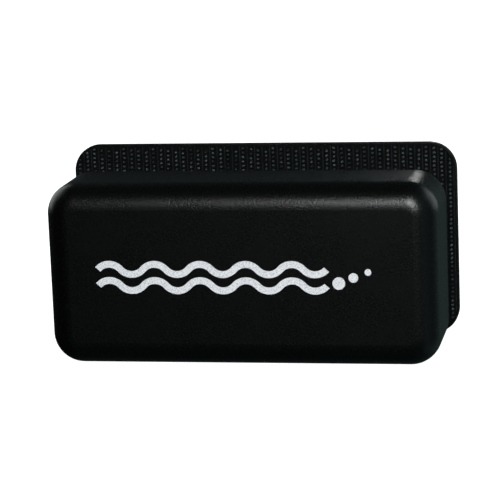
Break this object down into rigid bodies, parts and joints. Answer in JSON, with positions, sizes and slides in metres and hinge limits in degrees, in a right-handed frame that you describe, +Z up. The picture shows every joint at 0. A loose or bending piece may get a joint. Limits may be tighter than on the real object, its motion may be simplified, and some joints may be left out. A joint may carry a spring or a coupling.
{
  "type": "magnetic glass cleaner",
  "caption": "Magnetic aquarium glass cleaner: a black rounded outer block and a flanged inner half with a hook-tape scrubbing pad, facing each other across the pane's gap.",
  "frame": {"origin": "under the middle of the whole, on the surface that both halves stand on", "axes": "+X along the blocks, +Y through the pane from the outer half to the inner half, +Z up"},
  "size_m": [0.1228, 0.0732, 0.0612],
  "materials": {
    "abs_black": "satin",
    "gasket": "matte",
    "carrier": "matte",
    "magnet": "satin",
    "yoke": "satin",
    "foam": "matte",
    "adhesive": "matte",
    "felt": "matte",
    "hook_tape": "satin",
    "silver_print": "satin"
  },
  "bodies": {
    "outer_half": {"outer_shell": "abs_black", "outer_cover": "abs_black", "outer_gasket": "gasket", "outer_magnet_frame": "carrier", "outer_magnet_left": "magnet", "outer_magnet_right": "magnet", "outer_yoke": "yoke", "outer_foam": "foam", "outer_adhesive": "adhesive", "outer_felt_pad": "felt", "outer_emblem": "silver_print"},
    "inner_half": {"inner_shell": "abs_black", "inner_cover": "abs_black", "inner_gasket": "gasket", "inner_magnet_frame": "carrier", "inner_magnet_left": "magnet", "inner_magnet_right": "magnet", "inner_yoke": "yoke", "inner_foam": "foam", "inner_adhesive": "adhesive", "inner_hook_pad": "hook_tape"}
  },
  "joints": [
    {"name": "glass_gap", "type": "slide", "parent": "outer_half", "child": "inner_half", "axis": [0, 1, 0], "range_m": [-0.0155, 0.04]}
  ]
}
